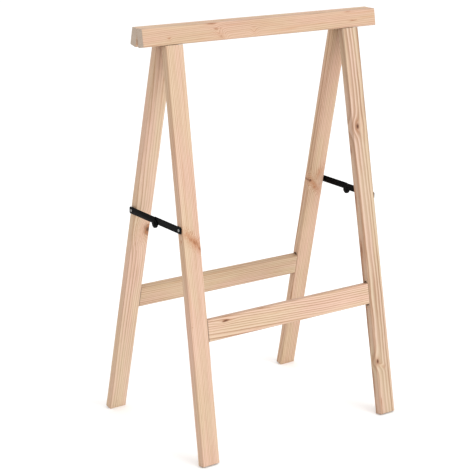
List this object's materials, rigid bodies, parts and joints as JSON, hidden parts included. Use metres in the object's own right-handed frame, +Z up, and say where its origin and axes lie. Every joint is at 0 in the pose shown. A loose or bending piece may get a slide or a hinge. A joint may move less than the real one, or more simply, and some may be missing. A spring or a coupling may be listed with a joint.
{
  "type": "folding sawhorse",
  "caption": "Folding wooden sawhorse: two hinged A-frames of planed pine with lower rails, held open by a folding black steel stay on each side.",
  "frame": {"origin": "on the floor, under the middle of the beam, with the sawhorse open", "axes": "+X along the beam to the right, +Y to the rear, +Z up"},
  "size_m": [0.511, 0.3262, 0.75],
  "materials": {
    "pine": "planed and unfinished, pale with a pink cast, knots and growth rings",
    "black_steel": "satin black",
    "zinc": "bright zinc plate"
  },
  "bodies": {
    "rear_frame": {"rear_top_board": "pine", "rear_rail": "pine", "rear_left_leg": "pine", "rear_right_leg": "pine", "left_hinge_rear_leaf": "zinc", "left_hinge_rear_screw_1": "zinc", "left_hinge_rear_screw_2": "zinc", "left_stay_rear_screw": "zinc", "left_stay_rear_spacer": "black_steel", "left_hinge_pin": "zinc", "right_hinge_rear_leaf": "zinc", "right_hinge_rear_screw_1": "zinc", "right_hinge_rear_screw_2": "zinc", "right_stay_rear_screw": "zinc", "right_stay_rear_spacer": "black_steel", "right_hinge_pin": "zinc"},
    "front_frame": {"front_top_board": "pine", "front_rail": "pine", "front_left_leg": "pine", "front_right_leg": "pine", "left_hinge_front_leaf": "zinc", "left_hinge_front_screw_1": "zinc", "left_hinge_front_screw_2": "zinc", "left_stay_front_screw": "zinc", "right_hinge_front_leaf": "zinc", "right_hinge_front_screw_1": "zinc", "right_hinge_front_screw_2": "zinc", "right_stay_front_screw": "zinc"},
    "left_stay_rear": {"left_stay_rear_link": "black_steel", "left_stay_rear_rivet": "black_steel"},
    "left_stay_front": {"left_stay_front_link": "black_steel", "left_stay_front_rivet": "black_steel"},
    "right_stay_rear": {"right_stay_rear_link": "black_steel", "right_stay_rear_rivet": "black_steel"},
    "right_stay_front": {"right_stay_front_link": "black_steel", "right_stay_front_rivet": "black_steel"}
  },
  "joints": [
    {"name": "frame_fold", "type": "hinge", "parent": "rear_frame", "child": "front_frame", "pos_m": [0, 0, 0.7362], "axis": [1, 0, 0], "range_deg": [0, 22.4]},
    {"name": "left_rear_link_turn", "type": "hinge", "parent": "rear_frame", "child": "left_stay_rear", "pos_m": [-0.21641, 0.07483, 0.41053], "axis": [-1, 0, 0], "range_deg": [0, 75.62]},
    {"name": "left_front_link_turn", "type": "hinge", "parent": "front_frame", "child": "left_stay_front", "pos_m": [-0.21641, -0.07483, 0.41053], "axis": [1, 0, 0], "range_deg": [0, 75.62]},
    {"name": "right_rear_link_turn", "type": "hinge", "parent": "rear_frame", "child": "right_stay_rear", "pos_m": [0.21641, 0.07483, 0.41053], "axis": [-1, 0, 0], "range_deg": [0, 75.62]},
    {"name": "right_front_link_turn", "type": "hinge", "parent": "front_frame", "child": "right_stay_front", "pos_m": [0.21641, -0.07483, 0.41053], "axis": [1, 0, 0], "range_deg": [0, 75.62]}
  ],
  "couplings": [
    {"joint": "left_rear_link_turn", "follows": "frame_fold", "ratio": 3.3756},
    {"joint": "left_front_link_turn", "follows": "frame_fold", "ratio": 3.3756},
    {"joint": "right_rear_link_turn", "follows": "frame_fold", "ratio": 3.3756},
    {"joint": "right_front_link_turn", "follows": "frame_fold", "ratio": 3.3756}
  ]
}
